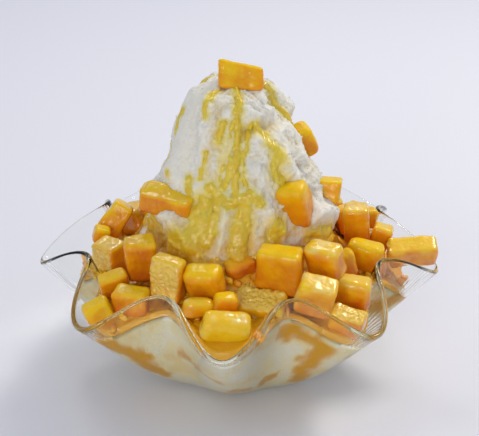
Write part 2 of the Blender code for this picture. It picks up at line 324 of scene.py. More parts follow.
def normals_of(mesh: bpy.types.Mesh) -> np.ndarray:
    """The mesh's vertex normals, one row each."""
    flat = np.empty(len(mesh.vertices) * 3, np.float32)
    mesh.vertex_normals.foreach_get("vector", flat)
    return flat.reshape(-1, 3).astype(float)


def move_vertices(mesh: bpy.types.Mesh, points: np.ndarray) -> None:
    """Put the mesh's vertices at these points, given in millimetres."""
    mesh.vertices.foreach_set("co", (points * MM).astype(np.float32).ravel())
    mesh.update()


def ring_faces(rows: int, columns: int) -> np.ndarray:
    """Faces of a grid that is rolled round the axis, lowest row first, seen from outside.

    Args:
        rows: How many rings of points.
        columns: How many points in a ring.

    Returns:
        Four vertex numbers a face.
    """
    row, column = np.meshgrid(np.arange(rows - 1), np.arange(columns), indexing="ij")
    here = row * columns + column
    beside = row * columns + (column + 1) % columns
    return np.stack([here, beside, beside + columns, here + columns], axis=-1).reshape(-1, 4)


def grid_normals(grid: np.ndarray) -> np.ndarray:
    """Outward directions at the points of a rolled grid.

    Args:
        grid: Points as rows x columns x 3.

    Returns:
        Unit vectors in the same layout.
    """
    along = np.gradient(grid, axis=0)
    across = np.roll(grid, -1, axis=1) - np.roll(grid, 1, axis=1)
    outward = np.cross(across, along)
    return outward / np.maximum(np.linalg.norm(outward, axis=-1, keepdims=True), 1e-9)


# ---------------------------------------------------------------------------
# Finishes
# ---------------------------------------------------------------------------


@dataclass(frozen=True)
class BlownGlass:
    """Soda-lime glass, blown into a mould and fire-polished at the lip.

    It is clear and bright, a little grey-green where it is seen along its thickness, and its
    surface has the slow waves of hand work.
    """

    tint: str = "FBFDFC"
    shade_of_shadow: str = "F3F6F6"
    ior: float = 1.33
    roughness: float = 0.015
    wave_size_mm: float = 14.0
    wave_strength: float = 0.06

    def build(self) -> bpy.types.Material:
        """Make the glass, which also lets lamps through so that what it holds is lit."""
        material, tree, place = new_material("soda-lime glass, blown")
        waves = noise_relief(tree, place, self.wave_size_mm, 2, self.wave_strength, {"Detail": 1.0})
        glass = add_node(
            tree,
            "ShaderNodeBsdfPrincipled",
            inputs={
                "Base Color": linear(self.tint),
                "Roughness": self.roughness,
                "IOR": self.ior,
                "Transmission Weight": 1.0,
                "Normal": waves,
            },
        )
        clear = add_node(tree, "ShaderNodeBsdfTransparent", inputs={"Color": linear(self.shade_of_shadow)})
        lamp_ray = add_node(tree, "ShaderNodeLightPath").outputs["Is Shadow Ray"]
        either = add_node(
            tree,
            "ShaderNodeMixShader",
            inputs={0: lamp_ray, 1: glass.outputs["BSDF"], 2: clear.outputs["BSDF"]},
        )
        finish_material(tree, either.outputs["Shader"])
        return material


@dataclass(frozen=True)
class ShavedIce:
    """Milk ice shaved into thin ribbons and piled up by hand.

    Light goes a few millimetres into it, so it is bright white. The hollows of its folds are
    painted a deeper cream as shade. Its grain glitters a little, and mango sauce soaks it yellow.
    """

    form: str = "shaved and piled"
    white: str = "F4F0E4"
    # Painted shade: the colour laid into the hollows of the relief.
    hollow: str = "EDDDB2"
    soaked: str = "F3DC6A"
    soaked_deep: str = "E2A612"
    grain_mm: float = 0.55
    strand_mm: float = 1.3
    roughness: float = 0.48
    depth_mm: float = 2.2

    def build(self) -> bpy.types.Material:
        """Make the ice with its stain, read from the mesh as stain and warmth."""
        material, tree, place = new_material(f"milk ice, {self.form}")
        # Painted shade: where the mesh's hollow number is high, the ice goes to the deeper cream.
        ice = color_mix(tree, reading(tree, "hollow"), linear(self.white), linear(self.hollow))
        soak = color_mix(tree, reading(tree, "warmth"), linear(self.soaked), linear(self.soaked_deep))
        color = color_mix(tree, reading(tree, "stain"), ice, soak)
        grain = noise_relief(tree, place, self.grain_mm, 0.35, 0.5, {"Detail": 2.0, "Roughness": 0.6})
        threads = {"Detail": 3.0, "Distortion": 0.6}
        strands = noise_relief(tree, place, self.strand_mm, 1.0, 0.7, threads, under=grain)
        shader = add_node(
            tree,
            "ShaderNodeBsdfPrincipled",
            inputs={
                "Base Color": color,
                "Roughness": self.roughness,
                "IOR": 1.31,
                "Subsurface Weight": 0.6,
                "Subsurface Scale": self.depth_mm * MM,
                "Subsurface Radius": (1.0, 0.95, 0.85),
                "Normal": strands,
            },
        )
        finish_material(tree, shader.outputs["BSDF"])
        return material


@dataclass(frozen=True)
class MangoSauce:
    """Mango purée thinned with syrup, poured.

    It is wet and smooth, olive-gold where it is thin over white ice and stronger where it pools.
    """

    thin: str = "F6D648"
    pooled: str = "E8B410"
    low: str = "F0AA14"
    pulp_mm: float = 0.9
    swirl_mm: float = 7.0
    roughness: float = 0.11

    def build(self) -> bpy.types.Material:
        """Make the sauce, which reads its thickness from the mesh as pooled."""
        material, tree, place = new_material("mango sauce, poured")
        swirls = add_node(
            tree,
            "ShaderNodeTexNoise",
            inputs={"Vector": place, "Scale": per_metre(self.swirl_mm), "Detail": 4.0, "Distortion": 1.2},
        )
        milky = color_mix(tree, swirls.outputs["Fac"], linear(self.pooled), linear(self.thin))
        upper = color_mix(tree, reading(tree, "pooled"), linear(self.thin), milky)
        color = color_mix(tree, reading(tree, "low"), upper, linear(self.low))
        pulp = noise_relief(tree, place, self.pulp_mm, 0.5, 0.6, {"Detail": 2.0})
        shader = add_node(
            tree,
            "ShaderNodeBsdfPrincipled",
            inputs={
                "Base Color": color,
                "Roughness": self.roughness,
                "IOR": 1.45,
                "Specular IOR Level": 0.8,
                "Subsurface Weight": 0.5,
                "Subsurface Scale": 1.6 * MM,
                "Subsurface Radius": (1.0, 0.6, 0.1),
                "Normal": pulp,
            },
        )
        finish_material(tree, shader.outputs["BSDF"])
        return material


class Cut(Enum):
    """How one face of a mango piece was left by the knife or the hand."""

    SMOOTH = "sliced"
    PULPY = "torn"
    FIBROUS = "cut along the fibre"
    # The pale film of a glazed face is partly real syrup and partly painted highlight.
    GLAZED = "sliced and glazed, with painted sheen"


@dataclass(frozen=True)
class MangoFlesh:
    """Ripe mango flesh, cut into dice and wetted by its own juice.

    The outer layer lets light in. Its colour is painted light and shade: yellow on faces that
    look up and at the top of a piece, deeper orange towards its bottom. Some glazed tops are
    painted pale as a highlight. Torn faces show grainy pulp that sparkles, and cuts along the
    fibre show streaks.
    """

    cut: Cut
    # edge, body, shade and deep are a ramp of painted light and shade: edge on lit upward faces and the
    # top of a piece, deep at its shaded bottom.
    edge: str = "F7C912"
    body: str = "F0A70E"
    shade: str = "DF8410"
    deep: str = "C65E18"
    pulp: str = "F4D25A"
    # Pale cream: partly a real syrup glaze and partly painted highlight on shiny tops.
    glaze_and_sheen: str = "EFDC90"
    mottle_mm: float = 5.0
    fibre_mm: float = 0.9
    grain_mm: float = 1.5
    roughness: float = 0.3
    juice_roughness: float = 0.06
    juice: dict = field(
        default_factory=lambda: {Cut.SMOOTH: 0.45, Cut.FIBROUS: 0.5, Cut.PULPY: 1.0, Cut.GLAZED: 0.9}
    )
    gloss: dict = field(
        default_factory=lambda: {Cut.SMOOTH: 0.25, Cut.FIBROUS: 0.35, Cut.PULPY: 0.8, Cut.GLAZED: 0.5}
    )

    def build(self) -> bpy.types.Material:
        """Make the flesh, read from the mesh as shade (painted light and shade), pulp and glaze (partly
        painted highlight).
        """
        material, tree, place = new_material(f"mango flesh, {self.cut.value}")
        shade = reading(tree, "shade")
        pulp = reading(tree, "pulp")
        # This ramp paints light and shade from the mesh's shade number.
        ramp = add_node(tree, "ShaderNodeValToRGB", inputs={"Fac": shade})
        stops = ramp.color_ramp.elements
        stops[0].color = linear(self.edge)
        stops[1].color = linear(self.deep)
        for spot, hex_code in ((0.35, self.body), (0.7, self.shade)):
            stops.new(spot).color = linear(hex_code)
        mottle = add_node(
            tree,
            "ShaderNodeTexNoise",
            inputs={"Vector": place, "Scale": per_metre(self.mottle_mm), "Detail": 3.0},
        )
        patchy = color_mix(tree, 0.35, ramp.outputs["Color"], mottle.outputs["Fac"], "SOFT_LIGHT")
        grain = add_node(
            tree,
            "ShaderNodeTexVoronoi",
            {"feature": "SMOOTH_F1"},
            {"Vector": place, "Scale": per_metre(self.grain_mm)},
        )
        torn = color_mix(tree, pulp, patchy, linear(self.pulp))
        torn_share = add_node(tree, "ShaderNodeMath", {"operation": "MULTIPLY"}, {0: pulp, 1: 0.75})
        pulpy = color_mix(tree, torn_share.outputs[0], patchy, torn)
        # The pale glaze colour is partly real syrup and partly painted highlight.
        color = color_mix(tree, reading(tree, "glaze_and_sheen"), pulpy, linear(self.glaze_and_sheen))
        fibres = noise_relief(tree, place, self.fibre_mm * 3, 0.6, 0.5, {"Detail": 4.0})
        rough = add_node(
            tree,
            "ShaderNodeBump",
            inputs={
                "Strength": pulp,
                "Distance": 0.55 * MM,
                "Height": grain.outputs["Distance"],
                "Normal": fibres,
            },
        )
        shader = add_node(
            tree,
            "ShaderNodeBsdfPrincipled",
            inputs={
                "Base Color": color,
                "Roughness": self.roughness,
                "IOR": 1.38,
                "Specular IOR Level": self.gloss[self.cut],
                "Subsurface Weight": 0.45,
                "Subsurface Scale": 3.0 * MM,
                "Subsurface Radius": (1.0, 0.5, 0.08),
                "Coat Weight": self.juice[self.cut],
                "Coat Roughness": self.juice_roughness,
                "Coat IOR": 1.4,
                "Normal": rough.outputs["Normal"],
                "Coat Normal": rough.outputs["Normal"],
            },
        )
        finish_material(tree, shader.outputs["BSDF"])
        return material


@dataclass(frozen=True)
class StudioPaper:
    """A roll of matt background paper. It is pale lavender-grey and almost without texture.

    The tooth of real paper is finer than this. It is drawn coarser, so that it shows at all.
    """

    color: str = "E9E9F1"
    tooth_mm: float = 0.6

    def build(self) -> bpy.types.Material:
        """Make the paper."""
        material, tree, place = new_material("background paper, matt")
        shader = add_node(
            tree,
            "ShaderNodeBsdfPrincipled",
            inputs={
                "Base Color": linear(self.color),
                "Roughness": 0.7,
                "Specular IOR Level": 0.25,
                "Normal": noise_relief(tree, place, self.tooth_mm, 0.1, 0.05),
            },
        )
        finish_material(tree, shader.outputs["BSDF"])
        return material


# ---------------------------------------------------------------------------
# Bowl
# ---------------------------------------------------------------------------


def bowl_tip_radius() -> float:
    """Radius of the bowl's flute tips in millimetres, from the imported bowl's width."""
    low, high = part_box("bowl")
    return (high.x - low.x) / 2 / MM / math.cos(FlutedWall.start)


@dataclass(frozen=True)
class FlutedWall:
    """The fluted glass wall as a surface that the glass and the ice both follow."""

    tip_radius: float
    flutes: int = 8
    start: float = math.radians(-4.35)
    swell: float = 10.5
    foot_radius: float = 33.4
    lip_height: float = 57.3
    lip_wave: float = 8.5
    lip_sharpness: float = 0.1
    wall_curve: float = 1.575
    swell_growth: float = 1.2
    wave_growth: float = 3.4
    thickness: float = 3.0

    def phase(self, angle: np.ndarray) -> np.ndarray:
        """Phase of the flutes: 0 at a tip and pi at a crest."""
        return self.flutes * (angle - self.start)

    def outside(self, angle: np.ndarray, rise: np.ndarray) -> np.ndarray:
        """Points on the outside of the glass.

        Args:
            angle: Angles round the bowl.
            rise: How far up the wall, from 0 at the foot to 1 at the lip.

        Returns:
            Points in millimetres, one row each.
        """
        wave = np.cos(self.phase(angle))
        cone = self.foot_radius + (self.tip_radius - self.swell - self.foot_radius) * rise
        radius = cone + self.swell * rise**self.swell_growth * wave
        ripple = wave + self.lip_sharpness * np.cos(2 * self.phase(angle))
        height = self.lip_height * rise**self.wall_curve - self.lip_wave * rise**self.wave_growth * ripple
        return np.stack([radius * np.sin(angle), -radius * np.cos(angle), height], axis=-1)

    def inward(self, angle: np.ndarray, rise: np.ndarray) -> np.ndarray:
        """Unit vectors from the outside of the glass towards its inside."""
        step = 1e-3
        low = np.maximum(rise - step, step / 10)
        along = self.outside(angle, rise + step) - self.outside(angle, low)
        across = self.outside(angle + step, rise) - self.outside(angle - step, rise)
        inward = np.cross(along, across)
        return inward / np.linalg.norm(inward, axis=-1, keepdims=True)

    def inset(self, angle: np.ndarray, rise: np.ndarray, depth: float | np.ndarray) -> np.ndarray:
        """Points that lie depth millimetres in from the outside of the glass."""
        return self.outside(angle, rise) + self.inward(angle, rise) * np.asarray(depth)[..., None]


@dataclass
class GlassBowl:
    """The bowl: a clear fluted wall with fine ribs pressed inside it and a rounded lip."""

    wall: FlutedWall
    columns: int = 1280
    column_points_a_rib: int = 4
    outer_rows: int = 26
    inner_rows: int = 24
    lip_rows: int = 10
    rib_depth: float = 0.12
    lip_thickness: float = 2.4
    lip_bead: float = 0.05
    glass: BlownGlass = field(default_factory=BlownGlass)

    def section(self, angle: np.ndarray) -> list[np.ndarray]:
        """Rings of points up the outside, over the lip and down the inside.

        Args:
            angle: The angle of each column.

        Returns:
            One ring of points a row.
        """
        wall = self.wall
        ribs = np.cos(np.arange(self.columns) * FULL_TURN / self.column_points_a_rib)
        lobes = 0.2 + 0.8 * smooth_step(np.cos(wall.phase(angle)), 0.0, 0.9)
        rings = []
        for rise in np.linspace(0.0, 1.0, self.outer_rows) ** 0.9:
            rings.append(wall.outside(angle, np.full(self.columns, rise)))
        top = np.ones(self.columns)
        lip_out = wall.outside(angle, top)
        inward = wall.inward(angle, top)
        upward = lip_out - wall.outside(angle, top - 0.02)
        upward /= np.linalg.norm(upward, axis=-1, keepdims=True)
        half = self.lip_thickness / 2
        for turn in np.linspace(0, math.pi, self.lip_rows + 1)[1:-1]:
            reach = half + self.lip_bead * math.sin(turn)
            inset = half - reach * math.cos(turn)
            rings.append(lip_out + inward * inset + upward * reach * math.sin(turn))
        for rise in np.linspace(1.0, 0.0, self.inner_rows) ** 0.9:
            fade = smooth_step(np.array(rise), 0.15, 0.5) * smooth_step(np.array(-rise), -0.985, -0.93)
            near_lip = smooth_step(np.array(rise), 0.93, 1.0)
            thinned = wall.thickness + (self.lip_thickness - wall.thickness) * near_lip
            depth = thinned + self.rib_depth * ribs * lobes * fade
            rings.append(wall.inset(angle, np.full(self.columns, rise), depth))
        return rings

    def build(self) -> bpy.types.Object:
        """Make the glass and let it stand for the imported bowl."""
        angle = self.wall.start + np.arange(self.columns) * FULL_TURN / self.columns
        rings = np.stack(self.section(angle))
        count = rings.shape[0] * self.columns
        foot = np.array([[0.0, 0.0, 0.0], [0.0, 0.0, self.wall.thickness]])
        points = np.vstack([rings.reshape(-1, 3), foot])
        faces = ring_faces(rings.shape[0], self.columns).tolist()
        last = count - self.columns
        for column in range(self.columns):
            beside = (column + 1) % self.columns
            faces.append([beside, column, count])
            faces.append([last + column, last + beside, count + 1])
        bowl = make_piece("glass_bowl", points, faces)
        bowl.data.materials.append(self.glass.build())
        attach(bowl, "root")
        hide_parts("bowl")
        return bowl


# ---------------------------------------------------------------------------
# Ice
# ---------------------------------------------------------------------------


@dataclass(frozen=True)
class Swell:
    """A lump that stands out from the heap, or with a minus sign a hollow in it."""

    azimuth: float
    height: float
    wide: float
    tall: float
    out: float


# The large bulges and dents that make the tower lopsided.
TOWER_SWELLS = (
    Swell(azimuth=70, height=138, wide=50, tall=14, out=-3.6),
    Swell(azimuth=92, height=138, wide=40, tall=9, out=-4.6),
    Swell(azimuth=-92, height=143, wide=46, tall=5, out=-4.0),
    Swell(azimuth=50, height=112, wide=26, tall=8, out=3.2),
    Swell(azimuth=84, height=97, wide=24, tall=7, out=2.2),
    Swell(azimuth=68, height=81, wide=15, tall=11, out=8.0),
    Swell(azimuth=-8, height=120, wide=16, tall=16, out=-2.0),
    Swell(azimuth=-88, height=136, wide=50, tall=18, out=-3.6),
    Swell(azimuth=-92, height=109, wide=34, tall=11, out=-2.6),
    Swell(azimuth=238, height=106, wide=14, tall=10, out=3.0),
    Swell(azimuth=84, height=131, wide=40, tall=7, out=-6.4),
    Swell(azimuth=-84, height=88, wide=26, tall=9, out=4.2),
    Swell(azimuth=-52, height=94, wide=15, tall=8, out=-3.4),
    Swell(azimuth=135, height=126, wide=34, tall=9, out=3.4),
    Swell(azimuth=150, height=112, wide=34, tall=4, out=-3.0),
    Swell(azimuth=170, height=98, wide=26, tall=8, out=3.8),
    Swell(azimuth=205, height=130, wide=26, tall=6, out=-2.6),
    Swell(azimuth=222, height=114, wide=30, tall=8, out=3.6),
    Swell(azimuth=205, height=84, wide=20, tall=9, out=4.4),
    Swell(azimuth=120, height=82, wide=18, tall=8, out=4.0),
)


@dataclass(frozen=True)
class Stroke:
    """A line laid on the heap.

    Its spots are pairs of an azimuth in degrees and a height. The width is half of what it
    covers, and it tapers to end_width. The amount is a height, a thickness or a strength.
    """

    spots: tuple
    width: float
    amount: float
    end_width: float | None = None

    def path(self, canvas: "Canvas") -> np.ndarray:
        """Points close together along the stroke, on the plain heap."""
        knots = np.array([canvas.spot(*spot) for spot in self.spots])
        if len(knots) == 1:
            return knots
        share = np.linspace(0, len(knots) - 1, 12 * (len(knots) - 1) + 1)
        order = np.arange(len(knots))
        return np.stack([np.interp(share, order, knots[:, axis]) for axis in range(3)], axis=1)


class Canvas:
    """The plain heap as a place to lay strokes on."""

    def __init__(self, points: np.ndarray) -> None:
        """Keep the points, one row each, with their azimuths and heights."""
        self.points = points
        self.azimuth = azimuth_of(points)
        self.radius = np.hypot(points[:, 0], points[:, 1])

    def spot(self, azimuth: float, height: float) -> np.ndarray:
        """The point on the outside of the heap that lies nearest to an azimuth and a height."""
        turn = turn_from(self.azimuth, azimuth)
        miss = np.radians(turn) ** 2 * 900 + (self.points[:, 2] - height) ** 2 - 0.02 * self.radius
        return self.points[np.argmin(miss)]

    def reach(self, stroke: Stroke, ragged: np.ndarray | float = 0.0) -> np.ndarray:
        """How deep inside a stroke each point lies: 1 on its line and 0 or less outside.

        Args:
            stroke: The stroke.
            ragged: What to add to the distance at each point, in millimetres.

        Returns:
            One value a point.
        """
        path = stroke.path(self)
        last = stroke.width if stroke.end_width is None else stroke.end_width
        widths = np.linspace(stroke.width, last, len(path))
        margin = 3 * max(stroke.width, last)
        near = np.all((self.points > path.min(0) - margin) & (self.points < path.max(0) + margin), axis=1)
        apart = np.linalg.norm(self.points[near][:, None, :] - path[None, :, :], axis=2)
        extra = ragged[near, None] if isinstance(ragged, np.ndarray) else ragged
        inside = np.full(len(self.points), -3.0)
        inside[near] = (1 - (apart + extra) / widths).max(axis=1)
        return inside

    def crest(self, stroke: Stroke) -> np.ndarray:
        """A stroke as a rounded crest that fades past its width."""
        return stroke.amount * np.exp(-np.maximum(1 - self.reach(stroke), 0) ** 1.6)


# The left of the tower was pressed smooth by hand: its middle and its width in degrees.
CALM_AZIMUTH = -80
CALM_WIDTH = 44

# Crests (above 0) and creases (below 0) of the torn ice, in millimetres.
FOLDS = (
    Stroke(((-42, 141), (-33, 133), (-34, 122), (-36, 109), (-35, 100)), 3.0, 1.3),
    Stroke(((-24, 138), (-22, 130), (-24, 120), (-26, 108)), 4.0, -1.5),
    Stroke(((11, 134.5), (24, 133.5), (40, 132.5), (62, 131)), 3.0, 2.2),
    Stroke(((10, 128), (24, 128.5), (42, 127), (66, 126)), 2.6, -2.8),
    Stroke(((22, 139), (44, 136.5), (66, 136)), 1.8, 1.3),
    Stroke(((20, 124), (32, 120), (42, 110), (54, 101)), 4.0, 2.6),
    Stroke(((30, 113), (38, 104), (44, 96)), 3.0, -2.4),
    Stroke(((8, 110), (16, 112), (23, 108), (17, 103)), 2.6, 2.2),
    Stroke(((6, 105), (14, 106), (22, 101)), 2.2, -2.4),
    Stroke(((-6, 98), (-8, 93), (-10, 88), (-10, 82), (-12, 76)), 3.2, 4.2, 2.2),
    Stroke(((-18, 98), (-19, 91), (-20, 84), (-21, 78)), 3.0, -2.2),
    Stroke(((-58, 86), (-47, 87.5), (-39, 85), (-33, 81), (-31, 77)), 4.2, 4.4, 2.6),
    Stroke(((7, 99), (13, 101), (19, 95), (25, 89), (31, 83)), 4.2, 3.6),
    Stroke(((2, 97), (5, 91), (6, 84), (8, 78)), 2.4, -2.4),
    Stroke(((14, 93), (18, 87), (22, 80)), 2.2, -1.8),
    Stroke(((48, 132), (72, 124), (78, 117), (66, 110)), 3.0, 1.8),
    Stroke(((60, 120), (74, 112), (84, 104)), 2.6, -1.8),
    Stroke(((58, 87), (70, 85), (80, 79)), 4.0, 3.0),
    Stroke(((47, 80), (52, 83), (60, 86)), 3.0, 2.6),
    Stroke(((53, 77), (60, 79), (67, 77)), 2.6, -2.4),
    Stroke(((-70, 104), (-62, 106), (-54, 103)), 4.0, 1.8),
    Stroke(((-51, 56),), 4.5, 3.4),
    Stroke(((100, 136), (122, 133), (146, 134)), 3.0, 2.2),
    Stroke(((100, 121), (120, 117), (140, 119)), 3.0, -2.2),
    Stroke(((168, 132), (172, 120), (166, 106), (172, 94)), 3.6, 2.6),
    Stroke(((186, 128), (190, 112), (186, 98)), 3.0, -2.2),
    Stroke(((205, 120), (225, 116), (246, 119)), 3.2, 2.4),
    Stroke(((212, 104), (228, 99), (240, 92)), 3.2, 2.6),
    Stroke(((128, 98), (136, 88), (132, 78)), 3.6, 3.2),
    Stroke(((250, 134), (262, 124), (256, 112)), 3.4, 1.8),
)

# Runs and pools of sauce on the tower, with their thickness in millimetres.
SAUCE_RUNS = (
    Stroke(((-2, 131), (-6, 127), (-4, 121)), 1.1, 0.45, 0.7),
    Stroke(((6, 119), (5, 111), (7, 105)), 0.8, 0.4, 1.2),
    Stroke(((-5, 117), (-7, 109), (-11, 103)), 0.9, 0.4, 1.8),
    Stroke(((-12, 113), (-14, 107)), 0.8, 0.35),
    Stroke(((27, 127), (30, 121)), 1.3, 0.45),
    Stroke(
        ((3, 143), (3, 138), (2, 133), (1, 125), (0, 116), (-1, 108), (-1, 99), (-2, 96)), 1.5, 0.75, 1.9
    ),
    Stroke(((-36, 142.6), (-38, 141), (-36, 138), (-34, 134)), 1.2, 0.5),
    Stroke(((-14, 131), (-17, 124)), 1.6, 0.55),
    Stroke(((-29, 118), (-32, 110), (-34, 105)), 0.9, 0.4),
    Stroke(((15, 129), (24, 130), (31, 125)), 1.3, 0.5),
    Stroke(((12, 127), (9, 120)), 1.0, 0.5),
    Stroke(((33, 121), (35, 116), (31, 111), (33, 106)), 1.6, 0.4, 2.2),
    Stroke(((36, 105), (40, 98), (43, 90)), 2.2, 0.5, 1.8),
    Stroke(((-22, 102), (-12, 98), (-4, 97), (3, 99), (9, 101)), 2.4, 0.8),
    Stroke(((-16, 100), (-17, 95), (-18, 89), (-19, 84), (-21, 79)), 2.6, 0.8, 3.2),
    Stroke(((-27, 96), (-31, 91), (-24, 87), (-26, 83), (-28, 79), (-30, 72)), 3.0, 0.6, 6.5),
    Stroke(((-40, 79), (-36, 76), (-34, 71)), 4.4, 0.6),
    Stroke(((5, 96), (4, 90), (2, 82), (0, 76)), 3.0, 0.8, 4.5),
    Stroke(((10, 100), (15, 98)), 2.2, 0.8),
    Stroke(((28, 86), (24, 80), (20, 76)), 3.4, 0.5),
    Stroke(((50, 78), (58, 77), (64, 76)), 2.8, 0.5),
    Stroke(((-72, 82), (-66, 78), (-62, 72), (-58, 66)), 6.0, 0.6, 7.5),
    Stroke(((-62, 103.5),), 1.3, 0.45),
    Stroke(((-31, 115),), 0.8, 0.4),
    Stroke(((-44, 104), (-40, 98), (-36, 93)), 1.4, 0.5),
    Stroke(((95, 141), (102, 132), (98, 120), (106, 108), (104, 96)), 1.4, 0.6, 2.0),
    Stroke(((150, 142), (154, 130), (149, 116), (156, 102), (152, 88)), 1.6, 0.7, 2.6),
    Stroke(((196, 141), (200, 131), (194, 121)), 1.2, 0.6),
    Stroke(((232, 140), (238, 126), (233, 112), (240, 98), (236, 86)), 1.5, 0.7, 2.4),
    Stroke(((265, 128), (270, 118)), 1.4, 0.5),
    Stroke(((176, 92), (184, 84), (180, 76)), 4.0, 0.6, 5.5),
    Stroke(((112, 92), (118, 84), (114, 76)), 4.0, 0.6, 5.5),
)

# Where sauce has soaked into the ice, on the tower and behind the glass, with its strength.
STAINS = (
    Stroke(((3, 141), (2, 130), (0, 116), (-2, 100)), 3.4, 0.85, 4.2),
    Stroke(((-8, 130), (-10, 122), (-10, 112), (-16, 103)), 4.6, 0.6),
    Stroke(((-30, 118), (-33, 106)), 1.8, 0.5),
    Stroke(((22, 129), (32, 124), (36, 116), (32, 108), (38, 98)), 5.4, 0.9, 6.0),
    Stroke(((-24, 99), (-14, 98), (0, 97), (14, 98)), 4.6, 0.9),
    Stroke(((-28, 95), (-24, 87), (-27, 80), (-30, 72)), 8.0, 1.0, 10.0),
    Stroke(((5, 96), (3, 84), (0, 74)), 5.0, 1.0, 7.0),
    Stroke(((26, 84), (22, 78)), 5.0, 0.9),
    Stroke(((-72, 82), (-64, 76), (-58, 66)), 9.0, 1.0, 10.0),
    Stroke(((-62, 104),), 2.6, 0.8),
    Stroke(((56, 77), (64, 75)), 4.0, 0.9),
    Stroke(((100, 136), (104, 110), (104, 92)), 4.2, 0.8, 6.0),
    Stroke(((152, 138), (150, 114), (154, 90)), 5.0, 0.8, 7.0),
    Stroke(((236, 134), (236, 108), (238, 88)), 4.6, 0.8, 7.0),
    Stroke(((180, 90), (182, 76)), 7.0, 0.9, 9.0),
    Stroke(((-60, 44), (-50, 41.5), (-46, 37), (-44, 30), (-44, 22), (-41, 14)), 7.5, 1.0, 6.0),
    Stroke(((-92, 42), (-80, 38), (-70, 30)), 6.0, 1.0),
    Stroke(((-52, 47), (-42, 48.5), (-34, 51)), 4.0, 0.9),
    Stroke(((20, 47), (28, 43), (32, 37), (31, 26), (33, 13)), 8.0, 1.0, 6.5),
    Stroke(((32, 48), (40, 45), (46, 40), (50, 34)), 6.0, 1.0),
    Stroke(((-26, 33), (-17, 28), (-8, 25)), 4.0, 0.8),
    Stroke(((-3, 13), (8, 10), (18, 17)), 4.5, 0.9),
    Stroke(((68, 34), (78, 37), (90, 40)), 6.5, 1.0),
    Stroke(((120, 44), (132, 34), (138, 20)), 6.0, 1.0, 4.0),
    Stroke(((168, 42), (178, 32), (190, 38)), 5.5, 1.0),
    Stroke(((214, 22), (222, 34), (232, 42)), 5.0, 1.0),
)


